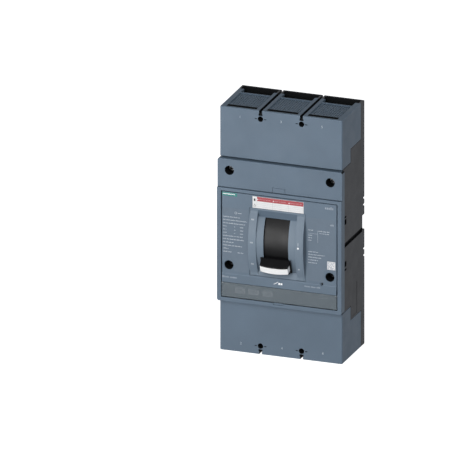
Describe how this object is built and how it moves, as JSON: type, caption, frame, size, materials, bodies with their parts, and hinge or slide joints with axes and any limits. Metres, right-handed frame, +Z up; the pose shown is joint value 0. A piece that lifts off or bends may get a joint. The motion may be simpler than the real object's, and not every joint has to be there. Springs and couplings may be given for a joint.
{
  "type": "molded case circuit breaker",
  "caption": "Three-pole molded case circuit breaker with toggle handle, electronic trip unit under a smoked window and long covers over the terminals.",
  "frame": {"origin": "centre of the flat back mounting face", "axes": "+X to the right seen from the front, +Y to the back (out of the mounting face), +Z up towards the line terminals; the front faces -Y"},
  "size_m": [0.21, 0.1335, 0.41],
  "materials": {
    "cover_grey": "fine moulded texture",
    "base_black": "moulded thermoset",
    "handle_black": "satin",
    "cap_white": "satin",
    "smoke_window": "clear smoke tint",
    "zinc_steel": "zinc plated",
    "copper": "plain copper",
    "fibre_brown": "vulcanised fibre",
    "board_green": "solder mask and potting",
    "rotor_cream": "glass filled polyester",
    "label_white": "printed film",
    "dial_grey": "satin"
  },
  "bodies": {
    "housing": {"base_housing": "base_black", "cover_screw_lower_left": "zinc_steel", "cover_screw_lower_right": "zinc_steel", "cover_screw_upper_left": "zinc_steel", "cover_screw_upper_right": "zinc_steel", "current_transformer_1": "board_green", "current_transformer_2": "board_green", "current_transformer_3": "board_green", "front_panel": "cover_grey", "line_arc_chute_1": "fibre_brown", "line_arc_chute_2": "fibre_brown", "line_arc_chute_3": "fibre_brown", "line_conductor_1": "copper", "line_conductor_2": "copper", "line_conductor_3": "copper", "line_cover_screw_left": "zinc_steel", "line_cover_screw_right": "zinc_steel", "line_terminal_cover": "cover_grey", "load_arc_chute_1": "fibre_brown", "load_arc_chute_2": "fibre_brown", "load_arc_chute_3": "fibre_brown", "load_conductor_1": "copper", "load_conductor_2": "copper", "load_conductor_3": "copper", "load_cover_screw_left": "zinc_steel", "load_cover_screw_right": "zinc_steel", "load_terminal_cover": "cover_grey", "main_cover": "cover_grey", "mechanism_plate_left": "zinc_steel", "mechanism_plate_right": "zinc_steel", "tie_rod_latch": "zinc_steel", "tie_rod_lower": "zinc_steel", "tie_rod_rear": "zinc_steel", "toggle_bezel": "cover_grey", "trip_actuator": "zinc_steel", "trip_unit_board": "board_green", "trip_unit_housing": "handle_black", "warning_label": "label_white"},
    "toggle": {"toggle_cap": "cap_white", "toggle_handle": "handle_black", "toggle_spring": "zinc_steel", "toggle_yoke": "zinc_steel"},
    "contact_assembly": {"contact_arm_1": "copper", "contact_arm_2": "copper", "contact_arm_3": "copper", "contact_rotor_1": "rotor_cream", "contact_rotor_2": "rotor_cream", "contact_rotor_3": "rotor_cream", "crank_pin": "zinc_steel", "crossbar_rod": "zinc_steel"},
    "drive_links": {"drive_link_left": "zinc_steel", "drive_link_right": "zinc_steel"},
    "latch": {"latch_lever": "zinc_steel"},
    "trip_shaft": {"trip_bar": "handle_black"},
    "trip_button": {"push_to_trip_button": "handle_black"},
    "plunger": {"actuator_plunger": "zinc_steel"},
    "window": {"trip_unit_window": "smoke_window"},
    "dial_1": {"setting_dial_1": "dial_grey"},
    "dial_2": {"setting_dial_2": "dial_grey"},
    "dial_3": {"setting_dial_3": "dial_grey"}
  },
  "joints": [
    {"name": "toggle_swing", "type": "hinge", "parent": "housing", "child": "toggle", "pos_m": [-0.003, -0.03, -0.014], "axis": [-1, 0, 0], "range_deg": [0, 40.8]},
    {"name": "contact_turn", "type": "hinge", "parent": "housing", "child": "contact_assembly", "pos_m": [0, -0.04, -0.04], "axis": [-1, 0, 0], "range_deg": [0, 40.8]},
    {"name": "link_turn", "type": "hinge", "parent": "contact_assembly", "child": "drive_links", "pos_m": [0, -0.055, -0.03984], "axis": [-1, 0, 0], "range_deg": [-40.8, 0]},
    {"name": "trip_shaft_turn", "type": "hinge", "parent": "housing", "child": "trip_shaft", "pos_m": [0, -0.078, -0.078], "axis": [-1, 0, 0], "range_deg": [0, 18], "stiffness_Nm_per_rad": 0.05},
    {"name": "latch_turn", "type": "hinge", "parent": "housing", "child": "latch", "pos_m": [0, -0.076, -0.055], "axis": [-1, 0, 0], "range_deg": [-12, 0]},
    {"name": "button_push", "type": "slide", "parent": "housing", "child": "trip_button", "axis": [0, 1, 0], "range_m": [0, 0.003]},
    {"name": "plunger_stroke", "type": "slide", "parent": "housing", "child": "plunger", "axis": [0, 0, 1], "range_m": [0, 0.0018]},
    {"name": "window_hinge", "type": "hinge", "parent": "housing", "child": "window", "pos_m": [0, -0.1113, -0.0889], "axis": [-1, 0, 0], "range_deg": [0, 95]},
    {"name": "dial_1_turn", "type": "hinge", "parent": "housing", "child": "dial_1", "pos_m": [-0.069, -0.103, -0.103], "axis": [0, -1, 0], "range_deg": [-135, 135]},
    {"name": "dial_2_turn", "type": "hinge", "parent": "housing", "child": "dial_2", "pos_m": [-0.0465, -0.103, -0.103], "axis": [0, -1, 0], "range_deg": [-135, 135]},
    {"name": "dial_3_turn", "type": "hinge", "parent": "housing", "child": "dial_3", "pos_m": [-0.0223, -0.103, -0.103], "axis": [0, -1, 0], "range_deg": [-135, 135]}
  ],
  "couplings": [
    {"joint": "contact_turn", "follows": "toggle_swing", "ratio": 1},
    {"joint": "link_turn", "follows": "toggle_swing", "ratio": -1},
    {"joint": "latch_turn", "follows": "trip_shaft_turn", "ratio": -0.6666},
    {"joint": "button_push", "follows": "trip_shaft_turn", "m_per_rad": 0.009517}
  ]
}
